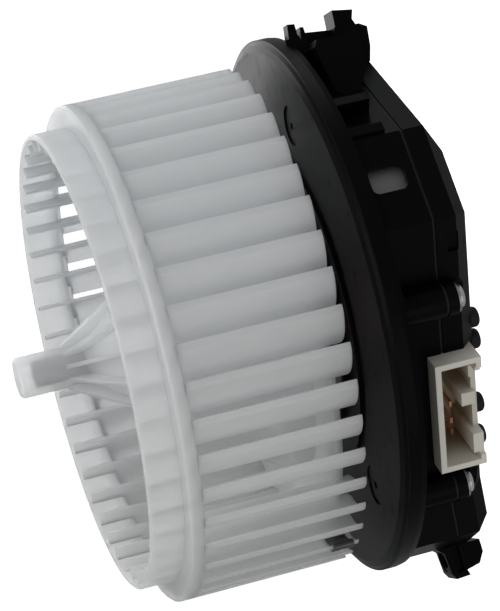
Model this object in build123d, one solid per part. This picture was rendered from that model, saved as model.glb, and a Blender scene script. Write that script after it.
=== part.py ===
"""Car cabin blower: squirrel-cage fan wheel on an external-rotor motor, held by a round flange.

Millimetres. +Z runs along the shaft towards the wheel's nose, and the origin is the centre of the
flange rim's front edge. +Y points to the top latch bracket and -Y to the bottom lug.
"""
from build123d import *
from math import cos, sin, radians, tan
import os

os.makedirs("parts", exist_ok=True)

# ---- driving dimensions -------------------------------------------------------------------------
# fan wheel
WHEEL_R = 75.0              # blade tips
BLADE_COUNT = 44
BLADE_HEEL_R = 63.5         # inner edge of the blades
BLADE_SWEEP = 9.0           # degrees that a tip leads its heel
BLADE_TURN = 80.0           # degrees that a blade's section turns from heel to tip
BLADE_T = 1.1               # blade thickness
BLADE_PHASE = -0.54         # angle of the first blade tip
BLADE_REAR_Z = 10.6         # free rear ends of the blades
BLADE_CORNER_R = 3.4        # rounded inner corner of a blade's rear end
REAR_PLATE_Z = 14.0         # underside of the ring that joins hub and blades
REAR_PLATE_T = 2.0
STEP_Z = 62.2               # front face of the wide ring
RING_T = 1.6
RING_BAND_H = 4.0           # height of the wide ring's outer band
RING_WALL_T = 1.5
COLLAR_R = 68.6             # narrow inlet collar, outside
COLLAR_WALL_T = 1.5
COLLAR_FRONT_Z = 72.0
COLLAR_BLADE_GAP = 0.1      # between the blade edges and the collar they are welded in
BLADE_FRONT_Z = 71.0        # front ends of the blades, inside the collar
CLIP_BLADE = -8             # which blade carries the balance clip
CLIP_Z = (12.4, 18.4)
CLIP_REACH = 5.0

# hub
BOSS_R = 6.15
BOSS_TIP_Z = 91.7
BOSS_ROOT_Z = 71.5          # where the boss flares into the cone
CONE_SLOPE = 37.0           # degrees between the cone's wall and the shaft
HUB_WALL = 1.9
HUB_RIB_COUNT = 10
HUB_RIB_T = 1.3
HUB_RIB_REACH = 20.0        # radius at which a gusset rib runs out

# motor
SHAFT_R = 4.0
SHAFT_TOP_Z = 86.5
SHAFT_END_Z = -14.0
YOKE_R = 27.5
YOKE_WALL = 1.6
YOKE_TOP_Z = 36.5
YOKE_OPEN_Z = 6.5
MAGNET_T = 3.0
MAGNET_COUNT = 10
MAGNET_GAP_DEG = 3.0
MAGNET_Z = (9.0, 30.0)
AIR_GAP = 0.7
STATOR_Z = (11.0, 27.0)
STATOR_TEETH = 12
STATOR_HUB_R = 11.5
TOOTH_W = 3.6
TOOTH_SHOE_T = 1.6
TOOTH_SHOE_DEG = 24.0
INSULATOR_T = 1.0
COIL_T = 1.7

# bearings (deep-groove, 8 x 16 x 5)
BEARING_R = 8.0
BEARING_W = 5.0
BALL_R = 1.5
BALL_COUNT = 8
BALL_GAP = 0.08             # running gap between a ball and the inner race
INNER_RACE_R = 5.3
OUTER_RACE_R = 6.8
FRONT_BEARING_Z = 26.0      # lower face
REAR_BEARING_Z = -3.0

# bearing holder, with the round base plate that closes the flange's opening
HOLDER_R = 10.2
HOLDER_TOP_Z = 31.5
BASE_R = 45.0
BASE_Z = (-3.2, -0.7)

# motor fastening and leads
MOTOR_SCREW_ANGLES = (30.0, 150.0, 270.0)
MOTOR_SCREW_RING_R = 40.5
MOTOR_SCREW_R = 1.5
BUSH_R = 3.8
LEAD_ANGLES = (75.0, 105.0, 135.0)
LEAD_RING_R = 18.0

# flange
OPENING_R = 34.0
DISC_TOP_Z = 1.8
DISC_T = 2.5
DISC_FACE_R = 78.1          # where the flat face ends and the shoulder drops to the rim
RIM_R = 81.4
RIM_WALL = 2.4
RIM_H = 5.0
SPIGOT_L = 3.4              # length of the rim that seats in the blower housing
RIDGE_R = 47.0              # low ridge around the motor opening
RIDGE_W = 1.6
RIDGE_H = 0.9
MOUNT_PAD_R = 6.0           # three shallow round recesses with a pin mark in the middle
MOUNT_PAD_RING_R = 61.5
MOUNT_PAD_ANGLES = (-62.0, 58.0, 178.0)
MOUNT_PAD_DEPTH = 0.35
MOUNT_PAD_HOLE_R = 1.2
CLIP_RIBS = ((43.5, 72.8), (34.5, 76.4))    # direction and inner end of two ribs on the lit wall
CLIP_RIB_R = 79.0

# casing behind the flange: a flat-sided box, each corner where two walls meet
CASING_CORNERS = [(76.0, 15.6), (66.0, 42.3), (20.0, 72.2), (-22.0, 74.0), (-60.0, 50.0), (-77.0, 8.0),
                  (-68.0, -38.0), (-36.0, -70.5), (-10.0, -79.2), (10.0, -79.2), (26.0, -75.4), (28.0, -64.0)]
CASING_WALL = 2.0
# how far each wall leans in at the back
CORNER_INSETS = [5.6, 8.4, 6.0, 6.0, 6.0, 6.0, 6.0, 6.0, 6.0, 5.0, 4.5, 5.4]
WINDOW_ANGLE = 20.5         # outward direction of the corner wall that has the window
WINDOW_DIST = 76.8
PARTING_Z = -20.0           # front shell and rear cover meet here
CHAMFER_Z = -26.5           # the cover's walls start to lean in
CASING_BACK_Z = -31.2
SEAL_T = 0.8

# near wall, where the connector sits: its outward direction and its distance from the shaft
NEAR_ANGLE = -31.0
NEAR_DIST = 57.1

SCREW_BOSS_R = 4.9
SCREW_PLACES = [(66.3, -6.4), (31.8, -59.8), (-58.2, 38.6), (-62.9, -32.7)]
SCREW_R = 2.0
SCREW_HEAD_R = 3.3
SCREW_HEAD_H = 1.7
WASHER_R = 4.4
WASHER_T = 0.8
BOSS_END_Z = -23.4

# bottom lug and top bracket
LUG_X = (1.0, 10.0)
LUG_HOLE_R = 2.2
LUG_HOLE_PLACE = (5.5, -83.6)
LUG_HOLE_Z = (-29.2, -19.9)     # between the two spot faces
LUG_SPOT_R = 3.4

# electronics
BOARD_Z = (-15.8, -14.2)
HEAT_SINK_Z = (-9.4, -7.4)
FIN_END_Z = -11.6
LIP_Y = (-7.0, 10.0)        # the heat sink's lip behind the window, along the corner wall
LIP_Z = (-18.4, -3.6)
CAP_R = 6.3
CAP_L = 9.5
CAP_PLACES = [(-26.0, -36.0), (-10.0, -48.0), (8.0, -50.0)]
CHOKE_PLACE = (-20.0, 34.0)
TRANSISTOR_ANGLES = (95, 120, 145, 200, 225, 250)

# blower connector, drawn on the near wall's own axes: X outward, Y along the wall, Z as the shaft
PLUG_Y = (-26.6, 9.4)
PLUG_Z = (-29.3, -15.4)
PLUG_OUT = 6.0
PLUG_IN = 15.0
PLUG_WALL = 1.8
PIN_Y = (-21.6, -17.6, -12.0, 1.0)
PIN_Z = -23.6
PIN_TIP = -6.0              # how far the pin tips stand below the wall's plane

# latch pocket in the cover's near wall
LATCH_DEPTH = 1.3
LATCH_Y = (41.5, 47.5)
LATCH_Z = (-27.0, -23.6)

# rubber plugs in the cover's back, beside the connector
PLUG_HOLE_R = 3.0
PLUG_HOLE_DIST = 48.3
PLUG_HOLE_ROW = (13.4, 6.2, -15.3, -26.4)
PLUG_PROUD = 3.2
PLUG_STEM = 1.8

BOTTOM = (Align.CENTER, Align.CENTER, Align.MIN)


# ---- helpers ------------------------------------------------------------------------------------
def polar(radius, angle, z=0.0):
    """A point at a radius and an angle in degrees."""
    return (radius * cos(radians(angle)), radius * sin(radians(angle)), z)


def cyl(radius, z0, z1, x=0.0, y=0.0):
    """A cylinder parallel to the shaft between two heights."""
    return Pos(x, y, z0) * Cylinder(radius, z1 - z0, align=BOTTOM)


def tube(outer, inner, z0, z1, x=0.0, y=0.0):
    """A ring parallel to the shaft."""
    return cyl(outer, z0, z1, x, y) - cyl(inner, z0 - 1, z1 + 1, x, y)


def turned(points):
    """A closed (radius, z) outline turned about the shaft."""
    outline = Polyline(*[(r, 0, z) for r, z in points], close=True)
    return revolve(make_face(outline), Axis.Z)


def prism(points, z0, z1):
    """A closed (x, y) outline raised between two heights."""
    face = make_face(Polyline(*points, close=True))
    return Pos(0, 0, z0) * extrude(face, amount=z1 - z0, dir=(0, 0, 1))


def block(x0, x1, y0, y1, z0, z1):
    """A box from its limits."""
    return Pos((x0 + x1) / 2, (y0 + y1) / 2, z0) * Box(x1 - x0, y1 - y0, z1 - z0, align=BOTTOM)


def side_prism(points, x0, x1):
    """A closed (y, z) outline pushed along X."""
    face = make_face(Polyline(*[(x0, y, z) for y, z in points], close=True))
    return extrude(face, amount=x1 - x0, dir=(1, 0, 0))


def inset(corners, distances):
    """The outline whose walls lie inside the given ones: one distance, or one for each corner-to-corner wall."""
    if not isinstance(distances, list):
        distances = [distances] * len(corners)
    moved = []
    for i, here in enumerate(corners):
        before = corners[i - 1]
        after = corners[(i + 1) % len(corners)]
        d1 = Vector(here[0] - before[0], here[1] - before[1]).normalized()
        d2 = Vector(after[0] - here[0], after[1] - here[1]).normalized()
        n1 = Vector(-d1.Y, d1.X)
        n2 = Vector(-d2.Y, d2.X)
        turn = d1.X * d2.Y - d1.Y * d2.X
        along = (n1 * distances[i - 1] - n2 * distances[i]).dot(n2) / turn
        moved.append((here[0] + n1.X * distances[i - 1] + d1.X * along,
                      here[1] + n1.Y * distances[i - 1] + d1.Y * along))
    return moved


def around(shape, count, start=0.0):
    """Copies of a shape, evenly spaced about the shaft."""
    return [Rot(0, 0, start + 360 / count * i) * shape for i in range(count)]


def near_wall(shape):
    """Move a shape drawn on the near wall's own axes, +X outward and +Y up along the wall."""
    return Rot(0, 0, NEAR_ANGLE) * Pos(NEAR_DIST, 0, 0) * shape


def save(shape, node):
    """Write one node."""
    export_step(shape, "parts/" + node + ".step")


# ---- fan wheel ----------------------------------------------------------------------------------
def blade_line(offset):
    """Start, middle and end of a blade's curved wall, shifted sideways by an offset."""
    heel = Vector(*polar(BLADE_HEEL_R, -BLADE_SWEEP))
    tip = Vector(*polar(WHEEL_R, 0))
    chord = tip - heel
    half = radians(BLADE_TURN / 2)
    radius = chord.length / 2 / sin(half)
    side = Vector(-chord.Y, chord.X).normalized()
    centre = (heel + tip) / 2 + side * (radius * cos(half))
    middle = centre - side * radius
    return [centre + (point - centre).normalized() * (radius + offset) for point in (heel, middle, tip)]


def blade_outline(half_t):
    """The closed section of a blade with the given half thickness."""
    inner = blade_line(-half_t)
    outer = blade_line(half_t)
    return [ThreePointArc(*inner), Line(inner[2], outer[2]), ThreePointArc(*outer), Line(outer[0], inner[0])]


def make_blade():
    """One blade: a curved strip, trimmed to the wheel's outline and rounded at its rear inner corner."""
    section = make_face(Wire(blade_outline(BLADE_T / 2)))
    strip = Pos(0, 0, BLADE_REAR_Z) * extrude(section, amount=BLADE_FRONT_Z - BLADE_REAR_Z, dir=(0, 0, 1))
    inside = COLLAR_R - COLLAR_WALL_T - COLLAR_BLADE_GAP
    r0 = BLADE_HEEL_R - 1
    corner = BLADE_CORNER_R
    near = corner * (1 - cos(radians(45)))
    z1 = STEP_Z - RING_T
    z2 = z1 - (RING_BAND_H - RING_T)
    band_in = WHEEL_R - RING_WALL_T - COLLAR_BLADE_GAP
    path = [Line((r0 + corner, 0, BLADE_REAR_Z), (WHEEL_R, 0, BLADE_REAR_Z)),
            Line((WHEEL_R, 0, BLADE_REAR_Z), (WHEEL_R, 0, z2)),
            Line((WHEEL_R, 0, z2), (band_in, 0, z2)), Line((band_in, 0, z2), (band_in, 0, z1)),
            Line((band_in, 0, z1), (inside, 0, z1)), Line((inside, 0, z1), (inside, 0, BLADE_FRONT_Z)),
            Line((inside, 0, BLADE_FRONT_Z), (r0, 0, BLADE_FRONT_Z)),
            Line((r0, 0, BLADE_FRONT_Z), (r0, 0, BLADE_REAR_Z + corner)),
            ThreePointArc((r0, 0, BLADE_REAR_Z + corner), (r0 + near, 0, BLADE_REAR_Z + near),
                          (r0 + corner, 0, BLADE_REAR_Z))]
    envelope = revolve(make_face(Wire(path)), Axis.Z)
    return strip & envelope


def make_fan_wheel():
    """Hub, rear plate and blades, moulded as one."""
    grow = tan(radians(CONE_SLOPE))
    cone_end_r = BOSS_R + (BOSS_ROOT_Z - REAR_PLATE_Z - REAR_PLATE_T) * grow
    lip = HUB_WALL / cos(radians(CONE_SLOPE))
    inner_r = SHAFT_R
    inner_top_z = 56.0
    cone_in_top_r = BOSS_R + (BOSS_ROOT_Z - inner_top_z) * grow - lip
    edge_r = BLADE_HEEL_R + 1.6
    plate_top = REAR_PLATE_Z + REAR_PLATE_T
    hub = turned([(0, BOSS_TIP_Z), (BOSS_R - 0.8, BOSS_TIP_Z), (BOSS_R, BOSS_TIP_Z - 0.8), (BOSS_R, BOSS_ROOT_Z),
                  (cone_end_r, plate_top), (edge_r, plate_top), (edge_r, REAR_PLATE_Z),
                  (cone_end_r + REAR_PLATE_T * grow - lip, REAR_PLATE_Z), (cone_in_top_r, inner_top_z),
                  (inner_r, inner_top_z), (inner_r, SHAFT_TOP_Z), (0, SHAFT_TOP_Z)])
    rib_top_z = BOSS_ROOT_Z + 6
    rib_foot_z = BOSS_ROOT_Z - (HUB_RIB_REACH - BOSS_R) / grow
    rib_face = make_face(Polyline((BOSS_R - 1, -HUB_RIB_T / 2, rib_top_z), (BOSS_R + 0.6, -HUB_RIB_T / 2, rib_top_z),
                                  (HUB_RIB_REACH + 1, -HUB_RIB_T / 2, rib_foot_z),
                                  (HUB_RIB_REACH - 1.5, -HUB_RIB_T / 2, rib_foot_z),
                                  (BOSS_R - 1, -HUB_RIB_T / 2, BOSS_ROOT_Z - 0.8), close=True))
    rib = extrude(rib_face, amount=HUB_RIB_T, dir=(0, 1, 0))
    wheel = hub.fuse(*around(rib, HUB_RIB_COUNT))
    return wheel.fuse(*around(make_blade(), BLADE_COUNT, BLADE_PHASE))


def make_inlet_ring():
    """The wide ring over the blade ends and the narrow collar in front of it, one moulding."""
    inside = COLLAR_R - COLLAR_WALL_T
    band_in = WHEEL_R - RING_WALL_T
    under = STEP_Z - RING_T
    return turned([(inside, under), (band_in, under), (band_in, STEP_Z - RING_BAND_H), (WHEEL_R, STEP_Z - RING_BAND_H),
                   (WHEEL_R, STEP_Z - 0.7), (WHEEL_R - 0.7, STEP_Z), (COLLAR_R, STEP_Z), (COLLAR_R, COLLAR_FRONT_Z - 0.5),
                   (COLLAR_R - 0.5, COLLAR_FRONT_Z), (inside, COLLAR_FRONT_Z)])


# ---- motor --------------------------------------------------------------------------------------
def make_motor_shaft():
    """Steel shaft with a flat where the wheel is pressed on, and a clip groove near its end."""
    shaft = cyl(SHAFT_R, SHAFT_END_Z, SHAFT_TOP_Z)
    groove_z = REAR_BEARING_Z - 2.0
    return shaft - tube(SHAFT_R + 1, SHAFT_R - 0.5, groove_z, groove_z + 0.9)


def make_rotor_yoke():
    """Deep-drawn steel cup that carries the magnets, with a neck pressed on the shaft."""
    top = YOKE_TOP_Z
    neck_r = SHAFT_R + 2.0
    cup = turned([(SHAFT_R, top + 6), (neck_r, top + 6), (neck_r, top), (YOKE_R - 1.5, top), (YOKE_R, top - 1.5),
                  (YOKE_R, YOKE_OPEN_Z), (YOKE_R - YOKE_WALL, YOKE_OPEN_Z), (YOKE_R - YOKE_WALL, top - YOKE_WALL),
                  (SHAFT_R, top - YOKE_WALL)])
    vent = cyl(3.2, top - 4, top + 4, 17.0, 0)
    return cup.cut(*around(vent, 6, 30))


def make_rotor_magnets():
    """Arc magnets glued inside the cup, alternating poles."""
    outer = YOKE_R - YOKE_WALL
    ring = tube(outer, outer - MAGNET_T, *MAGNET_Z)
    reach = outer + 5
    slot = block(0, reach, -0.6, 0.6, MAGNET_Z[0] - 1, MAGNET_Z[1] + 1)
    return ring.cut(*around(slot, MAGNET_COUNT))


def stator_outer_r():
    """Radius of the stator's tooth faces."""
    return YOKE_R - YOKE_WALL - MAGNET_T - AIR_GAP


def make_stator_core():
    """Stack of steel sheets: a hub ring and its T-shaped teeth."""
    outer = stator_outer_r()
    z0, z1 = STATOR_Z
    core = tube(STATOR_HUB_R + 2.0, HOLDER_R, z0, z1)
    tooth = block(STATOR_HUB_R, outer - 0.3, -TOOTH_W / 2, TOOTH_W / 2, z0, z1)
    wedge = prism([(0, 0), polar(outer + 6, -TOOTH_SHOE_DEG / 2)[:2], polar(outer + 6, TOOTH_SHOE_DEG / 2)[:2]], z0, z1)
    shoe = tube(outer, outer - TOOTH_SHOE_T, z0, z1) & wedge
    return core.fuse(*around(tooth + shoe, STATOR_TEETH))


def make_stator_insulator():
    """Two plastic end caps that keep the windings off the steel."""
    caps = []
    for z0 in (STATOR_Z[0] - INSULATOR_T, STATOR_Z[1]):
        cap = tube(STATOR_HUB_R + 2.0, HOLDER_R, z0, z0 + INSULATOR_T)
        arm = block(STATOR_HUB_R, stator_outer_r() - TOOTH_SHOE_T, -TOOTH_W / 2, TOOTH_W / 2, z0, z0 + INSULATOR_T)
        caps.append(cap.fuse(*around(arm, STATOR_TEETH)))
    return Compound(children=caps)


def make_stator_coils():
    """One copper winding around each tooth."""
    z0 = STATOR_Z[0] - INSULATOR_T - COIL_T
    z1 = STATOR_Z[1] + INSULATOR_T + COIL_T
    r0 = STATOR_HUB_R + 2.6
    r1 = stator_outer_r() - TOOTH_SHOE_T - 0.3
    half = TOOTH_W / 2
    inner_room = half + 0.01
    body = prism([(r0, -half - 0.9), (r1, -half - COIL_T), (r1, half + COIL_T), (r0, half + 0.9)], z0, z1)
    core = block(r0 - 1, r1 + 1, -inner_room, inner_room, STATOR_Z[0] - INSULATOR_T, STATOR_Z[1] + INSULATOR_T)
    return Compound(children=around(body - core, STATOR_TEETH))


def make_bearing_outer(z0):
    """Outer race and balls of one bearing."""
    mid = z0 + BEARING_W / 2
    ring_r = (INNER_RACE_R + OUTER_RACE_R) / 2 + BALL_GAP / 2
    race = tube(BEARING_R, OUTER_RACE_R, z0, z0 + BEARING_W)
    ball = Pos(ring_r, 0, mid) * Sphere(BALL_R)
    race = race - Pos(0, 0, mid) * Torus(ring_r, BALL_R)
    return Compound(children=[race] + around(ball, BALL_COUNT))


def make_bearing_inner(z0):
    """Inner race of one bearing, with its ball groove."""
    mid = z0 + BEARING_W / 2
    ring_r = (INNER_RACE_R + OUTER_RACE_R) / 2 + BALL_GAP / 2
    return tube(INNER_RACE_R, SHAFT_R, z0, z0 + BEARING_W) - Pos(0, 0, mid) * Torus(ring_r, BALL_R + BALL_GAP)


def make_shaft_clip():
    """Spring circlip that locks the rear bearing's inner race on the shaft."""
    groove_z = REAR_BEARING_Z - 2.0
    ring = tube(SHAFT_R + 1.6, SHAFT_R - 0.5, groove_z, groove_z + 0.9)
    return ring - block(0, 9, -1.0, 1.0, groove_z - 1, groove_z + 2)


def make_thrust_washer():
    """Washer between the rear bearing's inner race and the circlip."""
    groove_top = REAR_BEARING_Z - 2.0 + 0.9
    return tube(SHAFT_R + 1.2, SHAFT_R, groove_top, REAR_BEARING_Z)


def make_bearing_holder():
    """Die-cast tube for both bearings, on a round plate that closes the flange's opening."""
    seat = BEARING_R
    neck = BEARING_R - 1.2
    rear_top = REAR_BEARING_Z + BEARING_W
    foot_z = REAR_BEARING_Z - 1.0
    core_z = STATOR_Z[0] - INSULATOR_T
    shape = turned([(neck, rear_top), (seat, rear_top), (seat, foot_z), (HOLDER_R + 2.5, foot_z),
                    (HOLDER_R + 2.5, BASE_Z[0]), (BASE_R, BASE_Z[0]), (BASE_R, BASE_Z[1]), (HOLDER_R + 3.0, BASE_Z[1]),
                    (HOLDER_R + 1.4, core_z), (HOLDER_R, core_z), (HOLDER_R, HOLDER_TOP_Z), (seat, HOLDER_TOP_Z),
                    (seat, FRONT_BEARING_Z), (neck, FRONT_BEARING_Z)])
    for angle in MOTOR_SCREW_ANGLES:
        x, y, _ = polar(MOTOR_SCREW_RING_R, angle)
        shape = shape - cyl(BUSH_R, BASE_Z[0] - 1, BASE_Z[1] + 1, x, y)
    for angle in LEAD_ANGLES:
        x, y, _ = polar(LEAD_RING_R, angle)
        shape = shape - cyl(2.6, BASE_Z[0] - 1, BASE_Z[1] + 1, x, y)
    return shape


def make_vibration_bushes():
    """Rubber bushes that hold the motor's base plate off its screws."""
    bushes = []
    for angle in MOTOR_SCREW_ANGLES:
        x, y, _ = polar(MOTOR_SCREW_RING_R, angle)
        bush = cyl(BUSH_R, *BASE_Z, x, y) + cyl(BUSH_R + 1.4, BASE_Z[0] - 1.2, BASE_Z[0], x, y)
        bushes.append(bush - cyl(MOTOR_SCREW_R + 0.05, BASE_Z[0] - 2, BASE_Z[1] + 1, x, y))
    return Compound(children=bushes)


def make_motor_screws():
    """Three screws through the bushes into the flange."""
    screws = []
    for angle in MOTOR_SCREW_ANGLES:
        x, y, _ = polar(MOTOR_SCREW_RING_R, angle)
        seat = BASE_Z[0] - 1.2
        head = cyl(3.4, seat - 1.8, seat, x, y) - cyl(1.3, seat - 2.8, seat - 0.8, x, y)
        screws.append(head + cyl(MOTOR_SCREW_R, seat - 0.5, DISC_TOP_Z - 0.6, x, y))
    return Compound(children=screws)


def make_phase_leads():
    """Three copper strips from the windings down to the circuit board."""
    top = STATOR_Z[0] - INSULATOR_T - COIL_T
    strip = block(LEAD_RING_R - 0.5, LEAD_RING_R + 0.5, -1.4, 1.4, BOARD_Z[0] - 0.8, top)
    return Compound(children=[Rot(0, 0, angle) * strip for angle in LEAD_ANGLES])


# ---- flange and casing --------------------------------------------------------------------------
def make_top_bracket():
    """Latch bracket on the flange's top: posts, bar, tall tab and a gusset down the casing."""
    x0, x1 = 14.0, 30.0
    spine = side_prism([(62, -3.5), (77.0, -3.5), (77.6, -7.5), (74.0, -9.0), (78.7, -9.2), (77.6, -19.4), (77.2, -26.2),
                        (75.9, -28.4), (70.2, -28.0), (64.0, -26.4), (58.0, -22.0)], x0, x1)
    tab = side_prism([(76, -20.0), (83.0, -20.2), (82.0, -26.4), (79.3, -25.6), (76, -27.0)], x0 + 2, x1 - 4)
    tab = tab - cyl(4.2, -27, -21.0, (x0 + x1) / 2 - 1, 84.0)
    post = side_prism([(74, -4.2), (81.3, -5.0), (81.0, -7.2), (74, -7.6)], x1 - 5, x1)
    short_post = side_prism([(74, -7.8), (79.8, -8.6), (79.6, -9.6), (74, -10)], x1 - 5, x1)
    channel = block(x1 - 6.0, x1 + 1, 71.4, 80.0, -18.6, -9.6) - block(x1 - 6.0, x1 - 5.0, 70.0, 77.4, -20, -9)
    spine = spine - channel
    gusset = side_prism([(56.5, -14.0), (58.5, -11.0), (72.0, -8.0), (74.0, -9.0), (74.0, -21.5), (64.0, -22.0),
                         (57.5, -18.5)], x1 - 4, 42.5)
    return spine + tab + post + short_post + gusset


def make_bottom_lug():
    """Screw lug under the casing, with a groove down its near side."""
    lug = side_prism([(-72, -15.0), (-79.0, -16.6), (-81.0, -19.0), (-87.4, -19.8), (-89.2, -21.0), (-88.9, -25.4),
                      (-87.2, -24.8), (-86.2, -29.0), (-83.0, -30.8), (-76.8, -30.4), (-72, -28.0)], *LUG_X)
    groove = side_prism([(-79.5, -21.2), (-87.6, -21.8), (-87.0, -24.0), (-79.5, -23.6)], LUG_X[1] - 1.6, LUG_X[1] + 1)
    hole = cyl(LUG_HOLE_R, -32, -14, *LUG_HOLE_PLACE)
    spots = cyl(LUG_SPOT_R, LUG_HOLE_Z[1], -16.0, *LUG_HOLE_PLACE) + cyl(LUG_SPOT_R, -33, LUG_HOLE_Z[0], *LUG_HOLE_PLACE)
    return lug - groove - hole - spots


def make_mounting_flange():
    """Round disc and rim, the front half of the casing, the top bracket and the bottom lug: one moulding."""
    bottom = DISC_TOP_Z - DISC_T
    rim_in = RIM_R - RIM_WALL
    disc = turned([(OPENING_R, bottom), (OPENING_R, DISC_TOP_Z), (DISC_FACE_R, DISC_TOP_Z), (DISC_FACE_R + 1.9, 1.0),
                   (RIM_R - 0.5, 0.1), (RIM_R, 0), (RIM_R, -SPIGOT_L), (RIM_R - 0.3, -RIM_H), (rim_in, -RIM_H),
                   (rim_in, bottom)])
    disc = disc + tube(RIDGE_R + RIDGE_W, RIDGE_R, DISC_TOP_Z - 0.5, DISC_TOP_Z + RIDGE_H)
    disc = disc + tube(OPENING_R + 2.0, OPENING_R, DISC_TOP_Z - 0.5, DISC_TOP_Z + 1.4)
    shell = prism(CASING_CORNERS, PARTING_Z + SEAL_T / 2, bottom + 0.5) \
        - prism(inset(CASING_CORNERS, CASING_WALL), PARTING_Z - 1, bottom + 1.5)
    body = disc + shell
    for angle in MOUNT_PAD_ANGLES:
        x, y, _ = polar(MOUNT_PAD_RING_R, angle)
        body = body - cyl(MOUNT_PAD_R, DISC_TOP_Z - MOUNT_PAD_DEPTH, DISC_TOP_Z + 1, x, y)
        body = body - cyl(MOUNT_PAD_HOLE_R, DISC_TOP_Z - 1.2, DISC_TOP_Z + 2, x, y)
    for x, y in SCREW_PLACES:
        body = body + cyl(SCREW_BOSS_R, PARTING_Z + SEAL_T / 2, bottom + 0.2, x, y)
    behind = prism(CASING_CORNERS, CASING_BACK_Z - 5, PARTING_Z + SEAL_T / 2)
    room = prism(inset(CASING_CORNERS, 0.5), CASING_BACK_Z - 5, -1)
    body = body + (make_top_bracket() - behind - room) + (make_bottom_lug() - behind - room)
    for angle, start in CLIP_RIBS:
        body = body + Rot(0, 0, angle) * block(start, CLIP_RIB_R, -1.5, 1.5, -15.6, -RIM_H + 1)
    for angle in MOTOR_SCREW_ANGLES:
        x, y, _ = polar(MOTOR_SCREW_RING_R, angle)
        body = body - cyl(MOTOR_SCREW_R, bottom - 1, DISC_TOP_Z - 0.6, x, y)
    for x, y in SCREW_PLACES:
        body = body - cyl(SCREW_R, PARTING_Z - 1, -6.0, x, y)
    return body - window_cut() - connector_cut()


def window_cut():
    """Rounded slot in the casing's corner wall; the heat sink shows through it."""
    slot = Pos(0, 0.0, -11.7) * Box(8, 8.0, 10.4)
    slot = fillet(slot.edges().filter_by(Axis.X), 2.0)
    return Rot(0, 0, WINDOW_ANGLE) * Pos(WINDOW_DIST, 3.2, 0) * slot


def connector_cut():
    """The rectangle that the connector passes through."""
    return near_wall(block(-PLUG_IN, PLUG_OUT + 4, *PLUG_Y, *PLUG_Z))


def make_connector_pins():
    """Copper blades: a tip that stands in the socket, and a leg that turns up to the circuit board."""
    pins = []
    for y in PIN_Y:
        blade = block(-PLUG_IN - 3.0, PIN_TIP, y - 0.9, y + 0.9, PIN_Z - 0.4, PIN_Z + 0.4)
        leg = block(-PLUG_IN - 3.0, -PLUG_IN - 2.2, y - 0.9, y + 0.9, PIN_Z - 0.4, BOARD_Z[1] + 1.0)
        pins.append(near_wall(blade + leg))
    return Compound(children=pins)


def make_connector_housing():
    """Ivory shroud: a deep rectangular socket with a divider, a key and an open-topped rear wall."""
    y0, y1 = PLUG_Y
    z0, z1 = PLUG_Z
    wall = PLUG_WALL
    floor = -PLUG_IN + 2.0
    shell = block(-PLUG_IN, PLUG_OUT, y0, y1, z0, z1) - block(floor, PLUG_OUT + 1, y0 + wall, y1 - wall, z0 + 1.6, z1 - wall)
    notch = block(0.5, PLUG_OUT + 1, y0 + 9.8, y1 - 5.2, z0 - 1, z0 + 2.5)
    step = block(4.6, PLUG_OUT + 1, y0 + 3.2, y1 - 3.6, z0 - 1, z0 + 2.5)
    land = block(floor - 0.5, 4.6, y0 + 3.4, y0 + 9.8, z0 + 0.6, z0 + 3.2)
    key = block(floor - 0.5, 2.2, y0 + 18.4, y0 + 22.6, z0 + 1.0, z0 + 5.2)
    ledge = block(floor - 0.5, 1.2, y1 - 9.0, y1 - 5.2, z0 + 1.0, z0 + 2.4)
    return near_wall(shell - notch - step + land + key + ledge) - make_connector_pins()


def make_rear_cover():
    """Rear half of the casing: flat-sided, its back edge leaning in all round."""
    top = PARTING_Z - SEAL_T / 2
    room = inset(CASING_CORNERS, CASING_WALL)
    back = inset(CASING_CORNERS, CORNER_INSETS)
    outer = prism(CASING_CORNERS, CHAMFER_Z, top) + leaning(CASING_CORNERS, back, CHAMFER_Z, CASING_BACK_Z)
    inner = prism(room, CHAMFER_Z, top + 1) + leaning(room, inset(back, CASING_WALL), CHAMFER_Z,
                                                      CASING_BACK_Z + CASING_WALL)
    cover = outer - inner
    for x, y in SCREW_PLACES:
        cover = cover + cyl(SCREW_BOSS_R, BOSS_END_Z, top, x, y)
    for x, y in SCREW_PLACES:
        cover = cover - cyl(WASHER_R + 0.5, CASING_BACK_Z - 1, BOSS_END_Z, x, y)
        cover = cover - cyl(SCREW_R + 0.2, BOSS_END_Z - 1, top + 1, x, y)
    for y in PLUG_HOLE_ROW:
        cover = cover - near_wall(cyl(PLUG_HOLE_R - 0.8, CASING_BACK_Z - 1, CASING_BACK_Z + CASING_WALL + 1,
                                      PLUG_HOLE_DIST - NEAR_DIST, y))
    latch = near_wall(block(-LATCH_DEPTH, 1.0, *LATCH_Y, *LATCH_Z))
    return cover - connector_cut() - make_bottom_lug() - latch


def make_cover_plugs():
    """Rubber plugs pressed into the cover's back beside the connector."""
    plugs = []
    x = PLUG_HOLE_DIST - NEAR_DIST
    for y in PLUG_HOLE_ROW:
        head = cyl(PLUG_HOLE_R, CASING_BACK_Z - PLUG_PROUD, CASING_BACK_Z, x, y)
        head = fillet(head.edges().group_by(Axis.Z)[0], 1.3)
        stem = cyl(PLUG_HOLE_R - 0.8, CASING_BACK_Z, CASING_BACK_Z + PLUG_STEM, x, y)
        plugs.append(near_wall(head + stem))
    return Compound(children=plugs)


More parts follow.
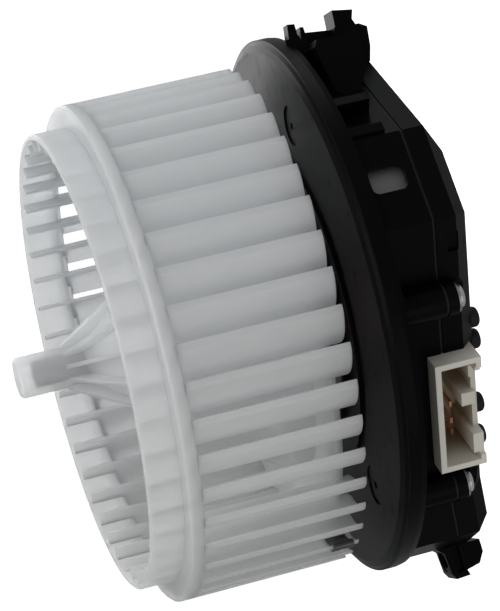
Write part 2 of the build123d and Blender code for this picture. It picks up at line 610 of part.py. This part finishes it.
def make_cover_seal():
    """Rubber gasket in the parting line, with eyes around the screws."""
    z0, z1 = PARTING_Z - SEAL_T / 2, PARTING_Z + SEAL_T / 2
    seal = prism(inset(CASING_CORNERS, 0.5), z0, z1)
    for x, y in SCREW_PLACES:
        seal = seal + cyl(SCREW_BOSS_R - 0.4, z0, z1, x, y)
    hollow = prism(inset(CASING_CORNERS, CASING_WALL), z0 - 1, z1 + 1)
    for x, y in SCREW_PLACES:
        hollow = hollow - cyl(SCREW_BOSS_R - 0.4, z0 - 2, z1 + 2, x, y)
    seal = seal - hollow
    for x, y in SCREW_PLACES:
        seal = seal - cyl(SCREW_R + 0.2, z0 - 1, z1 + 1, x, y)
    return seal - connector_cut() - make_bottom_lug()


def make_cover_screws():
    """Pan-head screws that hold the rear cover."""
    seat = BOSS_END_Z - WASHER_T
    screws = []
    for x, y in SCREW_PLACES:
        head = cyl(SCREW_HEAD_R, seat - SCREW_HEAD_H, seat, x, y)
        head = fillet(head.edges().group_by(Axis.Z)[0], 1.0)
        slot = block(x - 2.0, x + 2.0, y - 0.4, y + 0.4, seat - 3, seat - 0.9)
        cross = block(x - 0.4, x + 0.4, y - 2.0, y + 2.0, seat - 3, seat - 0.9)
        screws.append(head + cyl(SCREW_R - 0.02, seat - 0.5, -8.0, x, y) - slot - cross)
    return Compound(children=screws)


def make_screw_washers():
    """Bright washers under the cover screws."""
    return Compound(children=[tube(WASHER_R, SCREW_R + 0.1, BOSS_END_Z - WASHER_T, BOSS_END_Z, x, y)
                              for x, y in SCREW_PLACES])


# ---- electronics --------------------------------------------------------------------------------
def make_circuit_board():
    """Controller board that follows the casing's outline."""
    board = prism(inset(CASING_CORNERS, CASING_WALL + 1.2), *BOARD_Z)
    for x, y in SCREW_PLACES:
        board = board - cyl(SCREW_BOSS_R + 0.5, BOARD_Z[0] - 1, BOARD_Z[1] + 1, x, y)
    board = board - cyl(7.0, BOARD_Z[0] - 1, BOARD_Z[1] + 1)
    board = board - near_wall(block(-PLUG_IN - 0.5, 20, PLUG_Y[0] - 0.5, PLUG_Y[1] + 0.5, BOARD_Z[0] - 1, BOARD_Z[1] + 1))
    notch = block(WINDOW_DIST - 6.2, WINDOW_DIST, LIP_Y[0] - 0.8, LIP_Y[1] + 0.8, BOARD_Z[0] - 1, BOARD_Z[1] + 1)
    return board - Rot(0, 0, WINDOW_ANGLE) * notch - make_connector_pins() - make_phase_leads()


def make_heat_sink():
    """Aluminium plate above the board, with fins and an upright lip behind the casing's window."""
    plate = prism(inset(CASING_CORNERS, CASING_WALL + 2.0), *HEAT_SINK_Z)
    plate = plate - cyl(25.0, HEAT_SINK_Z[0] - 1, HEAT_SINK_Z[1] + 1)
    for x, y in SCREW_PLACES:
        plate = plate - cyl(SCREW_BOSS_R + 0.6, HEAT_SINK_Z[0] - 1, HEAT_SINK_Z[1] + 1, x, y)
    lip = Rot(0, 0, WINDOW_ANGLE) * block(WINDOW_DIST - 5.4, WINDOW_DIST - 3.6, *LIP_Y, *LIP_Z)
    fins = [block(-62.0 + 9 * i, -60.2 + 9 * i, -26.0, 24.0, FIN_END_Z, HEAT_SINK_Z[0]) for i in range(4)]
    return (plate + lip).fuse(*fins)


def make_power_transistors():
    """Six flat power transistors on the board, under the heat sink."""
    package = block(35.0, 44.0, -3.4, 3.4, BOARD_Z[1], BOARD_Z[1] + 2.3)
    tab = block(44.0, 46.0, -2.6, 2.6, BOARD_Z[1], BOARD_Z[1] + 0.8)
    return Compound(children=[Rot(0, 0, angle) * (package + tab) for angle in TRANSISTOR_ANGLES])


def make_capacitors():
    """Electrolytic capacitors that hang from the board."""
    cans = []
    for x, y in CAP_PLACES:
        can = cyl(CAP_R, BOARD_Z[0] - CAP_L, BOARD_Z[0], x, y)
        can = fillet(can.edges().group_by(Axis.Z)[0], 0.8)
        cans.append(can - tube(CAP_R + 1, CAP_R - 0.4, BOARD_Z[0] - 2.6, BOARD_Z[0] - 1.8, x, y))
    return Compound(children=cans)


def make_choke_core():
    """Ferrite drum of the supply choke."""
    x, y = CHOKE_PLACE
    top = BOARD_Z[0]
    return cyl(8.0, top - 2.0, top, x, y) + cyl(3.5, top - 9.0, top - 1, x, y) + cyl(8.0, top - 10.5, top - 8.5, x, y)


def make_choke_winding():
    """Copper wire on the choke, six turns in one layer."""
    x, y = CHOKE_PLACE
    wire_r = 0.52
    turns = [Pos(x, y, BOARD_Z[0] - 2.7 - 1.04 * i) * Torus(3.5 + wire_r, wire_r) for i in range(6)]
    return Compound(children=turns)


def make_balance_clip():
    """Spring-steel clip pushed over one blade's outer edge to balance the wheel."""
    wide = BLADE_T / 2 + 0.6
    z0, z1 = CLIP_Z
    strip = Pos(0, 0, z0) * extrude(make_face(Wire(blade_outline(wide))), amount=z1 - z0, dir=(0, 0, 1))
    shape = (strip & tube(WHEEL_R + 3, WHEEL_R - CLIP_REACH, z0, z1)) + cyl(wide, z0, z1, WHEEL_R, 0)
    shape = shape - extrude(make_face(Wire(blade_outline(BLADE_T / 2))), amount=100, dir=(0, 0, 1))
    return Rot(0, 0, BLADE_PHASE + 360 / BLADE_COUNT * CLIP_BLADE) * shape


def leaning(wide, narrow, z_wide, z_narrow):
    """A solid that goes from a wide outline to a narrow one."""
    low = make_face(Polyline(*[(x, y, z_narrow) for x, y in narrow], close=True))
    high = make_face(Polyline(*[(x, y, z_wide) for x, y in wide], close=True))
    return loft([low, high], ruled=True)


NODES = {
    "fan_wheel": make_fan_wheel, "inlet_ring": make_inlet_ring, "balance_clip": make_balance_clip,
    "motor_shaft": make_motor_shaft, "rotor_yoke": make_rotor_yoke, "rotor_magnets": make_rotor_magnets,
    "shaft_clip": make_shaft_clip, "thrust_washer": make_thrust_washer,
    "stator_core": make_stator_core, "stator_insulator": make_stator_insulator, "stator_coils": make_stator_coils,
    "bearing_holder": make_bearing_holder, "vibration_bushes": make_vibration_bushes,
    "motor_screws": make_motor_screws, "phase_leads": make_phase_leads,
    "mounting_flange": make_mounting_flange, "rear_cover": make_rear_cover, "cover_seal": make_cover_seal,
    "cover_screws": make_cover_screws, "screw_washers": make_screw_washers, "cover_plugs": make_cover_plugs,
    "connector_housing": make_connector_housing, "connector_pins": make_connector_pins,
    "circuit_board": make_circuit_board, "heat_sink": make_heat_sink, "power_transistors": make_power_transistors,
    "capacitors": make_capacitors, "choke_core": make_choke_core, "choke_winding": make_choke_winding,
}
for node, maker in NODES.items():
    save(maker(), node)
for end, height in (("front", FRONT_BEARING_Z), ("rear", REAR_BEARING_Z)):
    save(make_bearing_outer(height), end + "_bearing")
    save(make_bearing_inner(height), end + "_bearing_race")
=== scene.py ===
# %% [markdown]
# # A cabin blower, step by step
# The object is the blower of a car's heater. A milky plastic fan wheel sits on the turning cup of a
# motor, a black round flange carries the motor, and a black casing behind it holds the controller.
# The shapes come ready made from the CAD model, so this lesson is about finishes, light and small
# moulded details. Everything is in metres, with +Z along the shaft and +Y towards the top bracket.

import math

import bmesh
import bpy
from mathutils import Matrix, Vector


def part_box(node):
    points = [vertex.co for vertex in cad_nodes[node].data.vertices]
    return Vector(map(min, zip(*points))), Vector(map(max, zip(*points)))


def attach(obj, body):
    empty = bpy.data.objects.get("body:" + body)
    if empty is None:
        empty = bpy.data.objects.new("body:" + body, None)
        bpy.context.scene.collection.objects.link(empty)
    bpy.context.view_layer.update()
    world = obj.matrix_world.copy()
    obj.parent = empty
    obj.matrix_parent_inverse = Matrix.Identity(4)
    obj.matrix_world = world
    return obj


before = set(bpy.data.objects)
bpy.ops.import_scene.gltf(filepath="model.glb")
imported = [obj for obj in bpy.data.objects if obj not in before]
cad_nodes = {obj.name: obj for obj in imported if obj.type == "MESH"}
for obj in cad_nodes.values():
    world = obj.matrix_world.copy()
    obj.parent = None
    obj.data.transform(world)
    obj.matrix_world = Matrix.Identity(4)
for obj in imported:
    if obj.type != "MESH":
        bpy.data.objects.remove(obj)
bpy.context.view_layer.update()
MM = 0.001

# %% [markdown]
# ## Sizes read from the model
# A scene that measures its own model never drifts away from it. The wheel's edge, the flange's edge
# and the casing's back are read once here, and the floor, the lamps' aim and the weld pips are placed from
# them.

# %% Measure the main pieces
LOW, HIGH = 0, 1
wheel_box = [Vector(corner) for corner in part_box("fan_wheel")]
ring_box = [Vector(corner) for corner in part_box("inlet_ring")]
flange_box = [Vector(corner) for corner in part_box("mounting_flange")]
cover_box = [Vector(corner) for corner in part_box("rear_cover")]
WHEEL_R = ring_box[HIGH].x
FLANGE_R = flange_box[HIGH].x
NOSE_Z = wheel_box[HIGH].z
BLADE_COUNT = 44
print(f"wheel {2 * WHEEL_R / MM:.1f} mm across, flange {2 * FLANGE_R / MM:.1f} mm")
print(f"the nose ends at {NOSE_Z / MM:.1f} mm")

# %% [markdown]
# ## The camera
# The blower is seen from its side and a little from the wheel's end, with the shaft running from the
# right down to the left. A long lens from about 0.8 m keeps the round wheel from looking stretched.
# The camera is set by where it stands and by two directions: where it looks and what is to its right.

# %% Place the camera
CAMERA_PLACE = Vector((0.7920, 0.0052, 0.1991))
LOOKS_ALONG = Vector((-0.97499, -0.00054, -0.22225)).normalized()
ROLL_RIGHT = Vector((0.21607, -0.23653, -0.94729))
FOCAL_MM = 160.3

side = (ROLL_RIGHT - LOOKS_ALONG * ROLL_RIGHT.dot(LOOKS_ALONG)).normalized()
up = side.cross(LOOKS_ALONG)
turn = Matrix((side, up, -LOOKS_ALONG)).transposed()
lens = bpy.data.cameras.new("camera")
lens.lens = FOCAL_MM
lens.sensor_width = 36.0
lens.clip_start = 0.05
camera = bpy.data.objects.new("camera", lens)
camera.matrix_world = Matrix.Translation(CAMERA_PLACE) @ turn.to_4x4()
bpy.context.collection.objects.link(camera)
bpy.context.scene.camera = camera
print("the camera stands", round(CAMERA_PLACE.length, 3), "m from the flange's centre")

# %% [markdown]
# ## Floor and light
# Parts like this are shown on white paper under large soft lamps. The floor is a wide pale sheet well
# below the casing, so that it stays clean behind the object. One large lamp from above and the left
# makes the bright upper blades, a second one from the nose side opens the ring, a faint one lifts the
# underside, and one behind the wheel shines through its thin walls.

# %% Lay the floor
FLOOR_DROP = 0.35
FLOOR_HALF = 6.0
floor_mesh = bpy.data.meshes.new("floor")
floor_shape = bmesh.new()
bmesh.ops.create_grid(floor_shape, x_segments=1, y_segments=1, size=FLOOR_HALF)
floor_shape.to_mesh(floor_mesh)
floor_shape.free()
floor = bpy.data.objects.new("floor", floor_mesh)
floor.location.z = cover_box[LOW].z - FLOOR_DROP
bpy.context.collection.objects.link(floor)
paper = bpy.data.materials.new("paper")
paper.use_nodes = True
paper_sockets = paper.node_tree.nodes["Principled BSDF"].inputs
paper_sockets["Base Color"].default_value = (0.95, 0.95, 0.95, 1)
paper_sockets["Roughness"].default_value = 0.9
paper_sockets["Emission Color"].default_value = (1, 1, 1, 1)
paper_sockets["Emission Strength"].default_value = 0.8
floor.visible_diffuse = False
floor.visible_glossy = False
floor_mesh.materials.append(paper)
print("the floor lies", FLOOR_DROP, "m below the casing")

# %% Hang the lamps
bpy.context.scene.view_settings.view_transform = "Standard"
world = bpy.data.worlds.new("studio")
world.use_nodes = True
world.node_tree.nodes["Background"].inputs["Color"].default_value = (0.97, 0.985, 1.0, 1)
world.node_tree.nodes["Background"].inputs["Strength"].default_value = 0.30
bpy.context.scene.world = world


def lamp(name, place, power, size, colour=(1, 1, 1)):
    """A square soft lamp at a place, turned towards the middle of the wheel."""
    light = bpy.data.lights.new(name, "AREA")
    light.energy = power
    light.size = size
    light.color = colour
    holder = bpy.data.objects.new(name, light)
    holder.location = place
    aim = Vector((0, 0, NOSE_Z / 2)) - Vector(place)
    holder.rotation_euler = aim.to_track_quat("-Z", "Y").to_euler()
    bpy.context.collection.objects.link(holder)


lamp("key", (0.80, 0.80, 0.80), 6.5, 1.0, (1.0, 0.99, 0.98))
lamp("top", (-0.25, 1.30, 0.05), 3.4, 0.9, (0.94, 0.97, 1.0))
lamp("back", (-1.0, 0.5, 0.35), 4.5, 0.9)
lamp("nose", (0.35, 0.10, 1.35), 3.2, 0.8, (0.94, 0.97, 1.0))
lamp("low_fill", (1.0, -0.70, 0.15), 3.0, 1.0, (1.0, 0.98, 0.95))
print("five lamps and a pale world")

# %% [markdown]
# ## Shader maths that reads like a sum
# A finish is a small sum of noises, distances and masks. Writing it with node calls alone is long, so
# one class wraps a node's output and turns plus, minus, times and powers into Math nodes.

# %% Wrap a node output
class Value:
    """The number that a node gives; sums on it add Math nodes."""

    def __init__(self, finish, socket):
        self.finish = finish
        self.socket = socket

    def sum(self, operation, first, second=0.0):
        return self.finish.node("ShaderNodeMath", {"operation": operation}, {0: first, 1: second})

    def __add__(self, other):
        return self.sum("ADD", self, other)

    def __sub__(self, other):
        return self.sum("SUBTRACT", self, other)

    def __rsub__(self, other):
        return self.sum("SUBTRACT", other, self)

    def __mul__(self, other):
        return self.sum("MULTIPLY", self, other)

    def __pow__(self, other):
        return self.sum("POWER", self, other)

    __radd__ = __add__
    __rmul__ = __mul__

    def sine(self):
        return self.sum("SINE", self)

    def step(self, low, high):
        """0 below low, 1 above high, and smooth between them."""
        return self.finish.node("ShaderNodeMapRange", {"interpolation_type": "SMOOTHSTEP"},
                                {"Value": self, "From Min": low, "From Max": high})


# %% [markdown]
# ## A finish
# Each finish is one Principled shader. What stays the same all over the surface is typed straight into
# the shader's sockets. What changes, such as colour, roughness and the grain in the normal, is linked.
# Positions are read as object coordinates: every CAD object sits at the origin, so they are the same
# metres as the model's.

# %% Write a finish
class Finish:
    """A material with one Principled shader and a short way to add nodes."""

    def __init__(self, name, colour, roughness, constants=None):
        self.material = bpy.data.materials.new(name)
        self.material.use_nodes = True
        self.tree = self.material.node_tree
        self.shader = self.tree.nodes["Principled BSDF"]
        self.shader.inputs["Base Color"].default_value = (*colour, 1)
        self.shader.inputs["Roughness"].default_value = roughness
        self.material.diffuse_color = (*colour, 1)
        for socket, value in (constants or {}).items():
            self.shader.inputs[socket].default_value = value

    def node(self, kind, settings=None, inputs=None, output=0):
        """Adds a node: first its settings, then its inputs, and gives one of its outputs."""
        made = self.tree.nodes.new(kind)
        for key, value in (settings or {}).items():
            if key == "stops":
                self.set_stops(made.color_ramp, value)
            else:
                setattr(made, key, value)
        for key, value in (inputs or {}).items():
            if isinstance(value, Value):
                self.tree.links.new(value.socket, made.inputs[key])
            else:
                made.inputs[key].default_value = value
        return Value(self, made.outputs[output])

    def set_stops(self, ramp, stops):
        """Gives a colour ramp its (place, colour) stops."""
        while len(ramp.elements) < len(stops):
            ramp.elements.new(1.0)
        for element, (place, colour) in zip(ramp.elements, stops):
            element.position = place
            element.color = (*colour, 1)

    def feed(self, socket, value):
        """Links a value to the shader."""
        self.tree.links.new(value.socket, self.shader.inputs[socket])

    def place(self):
        """The object coordinates, in metres."""
        return self.node("ShaderNodeTexCoord", output="Object")

    def axes(self):
        """The x, y and z of the object coordinates."""
        split = self.node("ShaderNodeSeparateXYZ", inputs={0: self.place()})
        outs = split.socket.node.outputs
        return [Value(self, outs[i]) for i in range(3)]

    def noise(self, grain_mm, detail=3.0, stretch=(1, 1, 1)):
        """Cloudy noise whose blotches are about grain_mm across."""
        where = self.node("ShaderNodeVectorMath", {"operation": "MULTIPLY"}, {0: self.place(), 1: stretch})
        return self.node("ShaderNodeTexNoise",
                         inputs={"Vector": where, "Scale": 1 / (grain_mm * MM), "Detail": detail})

    def blend(self, amount, first, second):
        """A colour between two colours."""
        mixer = self.tree.nodes.new("ShaderNodeMix")
        mixer.data_type = "RGBA"
        sockets = {0: amount, 6: first, 7: second}
        for index, value in sockets.items():
            if isinstance(value, Value):
                self.tree.links.new(value.socket, mixer.inputs[index])
            elif index:
                mixer.inputs[index].default_value = (*value, 1)
            else:
                mixer.inputs[index].default_value = value
        return Value(self, mixer.outputs[2])

    def relief(self, height, depth_mm, edge_mm=0.0, strength=1.0):
        """A bump from a height between 0 and 1, over softly rounded edges if edge_mm is given."""
        inputs = {"Height": height, "Distance": depth_mm * MM, "Strength": strength}
        if edge_mm:
            inputs["Normal"] = self.node("ShaderNodeBevel", {"samples": 4}, {"Radius": edge_mm * MM})
        self.feed("Normal", self.node("ShaderNodeBump", inputs=inputs))


def dress(finish, *names):
    """Gives a finish to CAD nodes."""
    for name in names:
        for slot in cad_nodes[name].material_slots:
            slot.material = finish.material


# %% [markdown]
# ## The milky wheel
# Natural polypropylene is white, but light goes a few millimetres into it, and a thin wall lets dim
# shapes through. Full glass-like transmission would be slow and too clear. A little transparency with
# subsurface scattering gives the same milk: thin walls stay see-through, and lit edges glow. The nose
# over the shaft is the clearest place, so the dark shaft shows in it.

# %% Mix the milky plastic
def milky_plastic(name, opacity, boss_opacity):
    """Natural polypropylene with a painted tint of the light, cooler at the top and warmer towards the
    bottom, and clearer round the shaft.
    """
    milk = Finish(name, (0.90, 0.92, 0.94), 0.36, {
        "IOR": 1.49, "Subsurface Weight": 1.0, "Subsurface Scale": 0.010,
        "Subsurface Radius": (1.0, 1.0, 1.0), "Specular IOR Level": 0.42})
    x, y, z = milk.axes()
    radius = (x * x + y * y) ** 0.5
    clouds = milk.noise(22, 2)
    flow = milk.noise(3.0, 3, (1, 1, 0.12))
    # painted light tint: cooler towards the top and warmer towards the bottom, mixed with random cloudy
    # tone
    cool_light_tint = (0.88, 0.915, 0.945)
    warm_light_tint = (0.90, 0.90, 0.885)
    lower = (0 - y).step(-0.05, 0.07)
    light_tint_and_clouds = milk.blend(lower * 0.7 + clouds * 0.3, cool_light_tint, warm_light_tint)
    milk.feed("Base Color", milk.blend(flow.step(0.45, 0.75) * 0.25, light_tint_and_clouds, (0.95, 0.96, 0.97)))
    milk.feed("Roughness", 0.30 + milk.noise(1.2, 4) * 0.16)
    near_shaft = 1 - radius.step(0.007, 0.012)
    above_cone = z.step(0.064, 0.074)
    clear = near_shaft * above_cone
    milk.feed("Alpha", opacity + clouds * 0.06 - clear * (opacity - boss_opacity))
    milk.relief(milk.noise(0.9, 4) * 0.5 + flow * 0.5, 0.035, 0.25)
    return milk


wheel_milk = milky_plastic("milky_blades", 0.74, 0.52)
ring_milk = milky_plastic("milky_ring", 0.64, 0.64)
dress(wheel_milk, "fan_wheel")
dress(ring_milk, "inlet_ring")
print("milky plastic on the wheel and its ring")

# %% [markdown]
# ## Black moulded plastic
# The flange and the casing are glass-filled nylon: nearly black, with a satin skin that picks up the
# lamps along every edge. A crisp CAD edge has no width and catches no light, so a Bevel node rounds the
# normals there. The disc behind the wheel is smoother, and a painted brownish reflection of the wheel
# is mixed into its colour in cloudy patches.

# %% Mix the black plastics
def black_plastic(name, tint, gloss, grain_mm):
    """Satin black nylon with a fine skin, grey dust specks and scuffs, and a painted brownish reflection
    in cloudy patches on the disc face.
    """
    nylon = Finish(name, tint, gloss, {"IOR": 1.5, "Specular IOR Level": 0.06})
    x, y, z = nylon.axes()
    radius = (x * x + y * y) ** 0.5
    face = radius.step(0.046, 0.052) * (1 - radius.step(0.076, 0.079)) * z.step(0.0012, 0.0016)
    cloud = nylon.noise(38, 2)
    # painted reflection: the disc face gets a brownish tint in cloudy patches
    painted_brown_reflection = nylon.blend(cloud.step(0.42, 0.62), tint, (0.008, 0.005, 0.0045))
    grey_dust = nylon.noise(0.7, 5).step(0.66, 0.80) * 0.10
    with_painted_reflection = nylon.blend(face * 0.8, tint, painted_brown_reflection)
    nylon.feed("Base Color", nylon.blend(grey_dust, with_painted_reflection, (0.03, 0.03, 0.03)))
    scuffs = nylon.noise(5.0, 6, (1, 1, 0.2)).step(0.55, 0.78)
    nylon.feed("Roughness", gloss + scuffs * 0.10 + nylon.noise(grain_mm, 2) * 0.06)
    nylon.relief(nylon.noise(grain_mm, 3), 0.02, 0.28)
    return nylon


flange_black = black_plastic("black_flange", (0.0018, 0.0018, 0.002), 0.30, 0.35)
cover_black = black_plastic("black_cover", (0.002, 0.002, 0.0023), 0.34, 0.5)
dress(flange_black, "mounting_flange")
dress(cover_black, "rear_cover")
print("two black plastics")

# %% [markdown]
# ## Ivory plug socket
# The socket is unpainted polyester, cream outside. Deep inside it the colour is a painted shade of darker
# beige, because light only arrives there after many bounces. Mixing by the distance from the casing's wall
# helps the depth to read.

# %% Mix the ivory plastic
SOCKET_WALL_DEG = -31


def ivory_plastic():
    """Cream polyester, with painted beige shade and a duller surface deep inside the socket."""
    ivory = Finish("ivory_socket", (0.80, 0.76, 0.66), 0.42, {
        "IOR": 1.52, "Subsurface Weight": 0.12, "Subsurface Scale": 0.002,
        "Subsurface Radius": (1.0, 0.8, 0.5)})
    x, y, z = ivory.axes()
    wall_angle = math.radians(SOCKET_WALL_DEG)
    outward = x * math.cos(wall_angle) + y * math.sin(wall_angle)
    # painted shade: darker beige deep in the socket, cream towards the mouth
    mouth_clear_of_painted_shade = outward.step(0.050, 0.0615)
    blotch = ivory.noise(4.0, 3)
    cream = ivory.blend(blotch * 0.4, (0.86, 0.83, 0.75), (0.80, 0.77, 0.68))
    ivory.feed("Base Color", ivory.blend(mouth_clear_of_painted_shade, (0.36, 0.28, 0.19), cream))
    ivory.feed("Roughness", 0.52 - mouth_clear_of_painted_shade * 0.12 + ivory.noise(0.8, 3) * 0.08)
    ivory.relief(ivory.noise(0.6, 3), 0.02, 0.25)
    return ivory


dress(ivory_plastic(), "connector_housing")
print("ivory plastic on the plug socket")

# %% [markdown]
# ## Metals
# Every metal here is worked differently: ground shafts have rings of fine scratches, stampings are
# smooth with a cloudy zinc skin, castings are rough. One recipe covers them, with the scratch direction
# and size as its inputs: a noise that is squeezed along Z gives rings, one that isn't gives a cast skin.

# %% Mix the metals
def metal(name, colour, roughness, grain_mm, stretch, depth_mm,
          stain=(0.2, 0.18, 0.16), stain_amount=0.12):
    """A bare or plated metal with its own grain and a little stain."""
    bare = Finish(name, colour, roughness, {"Metallic": 1.0})
    grain = bare.noise(grain_mm, 5, stretch)
    cloud = bare.noise(9.0, 3)
    bare.feed("Base Color", bare.blend(cloud.step(0.45, 0.75) * stain_amount, colour, stain))
    bare.feed("Roughness", roughness - 0.08 + grain * 0.16 + cloud * 0.06)
    bare.relief(grain, depth_mm, 0.15)
    return bare


RINGS = (0.08, 0.08, 6.0)
EVEN = (1, 1, 1)
dress(metal("ground_steel", (0.42, 0.43, 0.45), 0.28, 0.6, RINGS, 0.010), "motor_shaft")
dress(metal("zinc_cup", (0.60, 0.56, 0.55), 0.34, 0.8, RINGS, 0.012), "rotor_yoke")
dress(metal("zinc_screw", (0.74, 0.74, 0.71), 0.24, 0.7, EVEN, 0.010), "cover_screws", "motor_screws")
dress(metal("washer_steel", (0.42, 0.42, 0.41), 0.30, 0.7, EVEN, 0.008), "screw_washers")
dress(metal("race_steel", (0.70, 0.71, 0.73), 0.16, 0.5, RINGS, 0.004),
      "front_bearing", "rear_bearing", "front_bearing_race", "rear_bearing_race")
dress(metal("spring_steel", (0.10, 0.10, 0.11), 0.38, 0.6, EVEN, 0.010), "balance_clip", "shaft_clip")
dress(metal("sheet_stack", (0.36, 0.37, 0.39), 0.42, 0.5, (0.05, 0.05, 1.0), 0.05), "stator_core")
dress(metal("cast_holder", (0.62, 0.63, 0.64), 0.46, 0.9, EVEN, 0.05), "bearing_holder")
dress(metal("cast_sink", (0.22, 0.22, 0.22), 0.50, 0.7, EVEN, 0.06), "heat_sink")
dress(metal("can_aluminium", (0.72, 0.73, 0.75), 0.30, 0.6, RINGS, 0.006), "capacitors")
dress(metal("tinned_copper", (0.78, 0.40, 0.23), 0.26, 0.5, EVEN, 0.006, (0.35, 0.16, 0.09), 0.3),
      "connector_pins", "phase_leads")
print("eleven metals")

# %% [markdown]
# ## Windings
# A winding is enamelled wire laid side by side. The CAD solid is the bundle, and the wires are a wave
# in the bump: its period is the wire's width, and it runs round the tooth. The same wave darkens the
# colour in the grooves between turns as painted shade.

# %% Mix the enamelled copper
def enamelled_copper(name, wire_mm):
    """Copper wire under clear enamel, with one raised wire line for each turn and painted shade in the
    grooves between turns.
    """
    wound = Finish(name, (0.72, 0.30, 0.13), 0.30, {
        "Metallic": 0.9, "Coat Weight": 0.6, "Coat Roughness": 0.12})
    x, y, z = wound.axes()
    radius = (x * x + y * y) ** 0.5
    phase = (radius * 0.6 + z) * (2 * math.pi / (wire_mm * MM))
    ridge_and_groove_shade = phase.sine() * 0.5 + 0.5
    # painted shade: the copper is darker in the grooves between turns
    wound.feed("Base Color", wound.blend(ridge_and_groove_shade, (0.35, 0.12, 0.05), (0.80, 0.36, 0.17)))
    wound.relief(ridge_and_groove_shade, 0.12)
    return wound


dress(enamelled_copper("stator_wire", 0.7), "stator_coils")
dress(enamelled_copper("choke_wire", 1.04), "choke_winding")
print("two windings")

# %% [markdown]
# ## Rubber, ceramic, board and moulded small parts
# Matt rubber scatters light at every angle, so it is rough with a fine pebbled bump. Sintered ferrite
# is a dark grey ceramic with tiny pores. The board is green lacquer over copper tracks: two sine waves
# draw tracks one way or the other, and a noise picks which way each area runs.

# %% Mix the dull finishes
def dull(name, colour, speck, roughness, grain_mm, depth_mm):
    """A matt non-metal with darker and lighter specks."""
    plain = Finish(name, colour, roughness, {"Specular IOR Level": 0.35})
    grain = plain.noise(grain_mm, 4)
    plain.feed("Base Color", plain.blend(grain.step(0.4, 0.75), colour, speck))
    plain.feed("Roughness", roughness - 0.05 + grain * 0.1)
    plain.relief(grain, depth_mm, 0.2)
    return plain


dress(dull("black_rubber", (0.004, 0.004, 0.0045), (0.012, 0.012, 0.0125), 0.62, 0.5, 0.04),
      "cover_plugs", "cover_seal", "vibration_bushes")
dress(dull("ferrite", (0.050, 0.050, 0.054), (0.10, 0.10, 0.105), 0.70, 0.35, 0.05),
      "rotor_magnets", "choke_core")
dress(dull("epoxy_case", (0.020, 0.020, 0.022), (0.04, 0.04, 0.042), 0.55, 0.4, 0.02),
      "power_transistors")
dress(dull("glass_filled_ivory", (0.62, 0.58, 0.47), (0.72, 0.68, 0.57), 0.55, 0.6, 0.03),
      "stator_insulator")
dress(dull("slip_washer", (0.55, 0.48, 0.30), (0.62, 0.55, 0.38), 0.48, 0.6, 0.02), "thrust_washer")


TRACK_PITCH_MM = 2.54


def lacquered_board():
    """Green solder lacquer over raised copper tracks."""
    board = Finish("green_board", (0.02, 0.16, 0.08), 0.28, {"Coat Weight": 0.4, "Coat Roughness": 0.2})
    x, y, z = board.axes()
    pitch = 2 * math.pi / (TRACK_PITCH_MM * MM)
    across = (x * pitch).sine().step(0.55, 0.75)
    along = (y * pitch).sine().step(0.55, 0.75)
    zone = board.noise(14, 1).step(0.48, 0.50)
    tracks = across * zone + along * (1 - zone)
    board.feed("Base Color", board.blend(tracks, (0.012, 0.10, 0.05), (0.04, 0.24, 0.11)))
    board.relief(tracks, 0.05)
    return board


dress(lacquered_board(), "circuit_board")
print("rubber, ceramic, board and small mouldings")

# %% [markdown]
# ## Weld pips on the ring
# The inlet ring is welded over the blades' ends, and each blade leaves a small soft pip of melted
# plastic where it meets the ring's lower edge. A pip is a flattened ball, and a loop sets one at every
# blade. They are joined in one mesh, because they are one piece with the ring.

# %% Make the weld pips
def rounded_pip(shape, centre, outward, sizes):
    """Adds one flattened ball, its axes along the outward, sideways and shaft directions."""
    made = bmesh.ops.create_icosphere(shape, subdivisions=2, radius=1.0)
    sideways = Vector((0, 0, 1)).cross(outward)
    for vertex in made["verts"]:
        local = vertex.co.copy()
        vertex.co = (centre + outward * local.x * sizes[0] + sideways * local.y * sizes[1]
                     + Vector((0, 0, local.z * sizes[2])))


def finish_mesh(shape, name, finish, body):
    """Turns a bmesh into a smooth piece that rides on a body."""
    mesh = bpy.data.meshes.new(name)
    shape.to_mesh(mesh)
    shape.free()
    mesh.shade_smooth()
    mesh.materials.append(finish.material)
    piece = bpy.data.objects.new(name, mesh)
    bpy.context.collection.objects.link(piece)
    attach(piece, body)


PIP_R = WHEEL_R - 0.9 * MM
PIP_Z = ring_box[LOW].z
PIP_SIZES = (0.8 * MM, 1.5 * MM, 0.55 * MM)
FIRST_BLADE_DEG = -0.54
PIP_LAG_DEG = 1.2
pips = bmesh.new()
for blade in range(BLADE_COUNT):
    angle = math.radians(FIRST_BLADE_DEG + 360 / BLADE_COUNT * blade - PIP_LAG_DEG)
    outward = Vector((math.cos(angle), math.sin(angle), 0))
    rounded_pip(pips, outward * PIP_R + Vector((0, 0, PIP_Z)), outward, PIP_SIZES)
finish_mesh(pips, "weld_pips", ring_milk, "rotor")
print(BLADE_COUNT, "weld pips at", round(PIP_Z / MM, 1), "mm")
